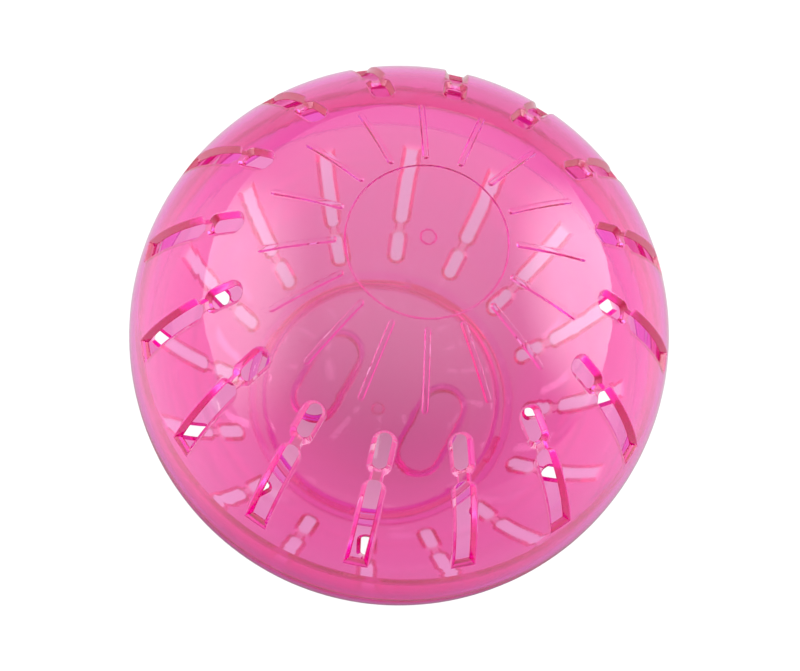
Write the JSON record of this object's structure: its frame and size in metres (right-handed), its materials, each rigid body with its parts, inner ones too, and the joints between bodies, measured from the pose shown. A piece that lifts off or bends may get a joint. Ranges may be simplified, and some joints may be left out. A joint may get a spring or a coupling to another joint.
{
  "type": "hamster exercise ball",
  "caption": "Hollow see-through exercise ball for a small rodent: vented half shells that push together over a collar, and a twist-lock door with finger pits.",
  "frame": {"origin": "centre of the closed ball", "axes": "+Z along the polar axis, out of the plain pole and away from the door; +Y along the door's grip bar"},
  "size_m": [0.178, 0.178, 0.178],
  "materials": {
    "tinted_shell": "clear pink moulded plastic, polished",
    "tinted_door": "clear pink moulded plastic, polished"
  },
  "bodies": {
    "door_half": {"door_half": "tinted_shell"},
    "plain_half": {"plain_half": "tinted_shell"},
    "door": {"door": "tinted_door"}
  },
  "joints": [
    {"name": "half_lift", "type": "slide", "parent": "door_half", "child": "plain_half", "axis": [0, 0, 1], "range_m": [0, 0.12]},
    {"name": "door_twist", "type": "hinge", "parent": "door_half", "child": "door", "pos_m": [0, 0, -0.0745], "axis": [0, 0, -1], "range_deg": [0, 67]}
  ]
}
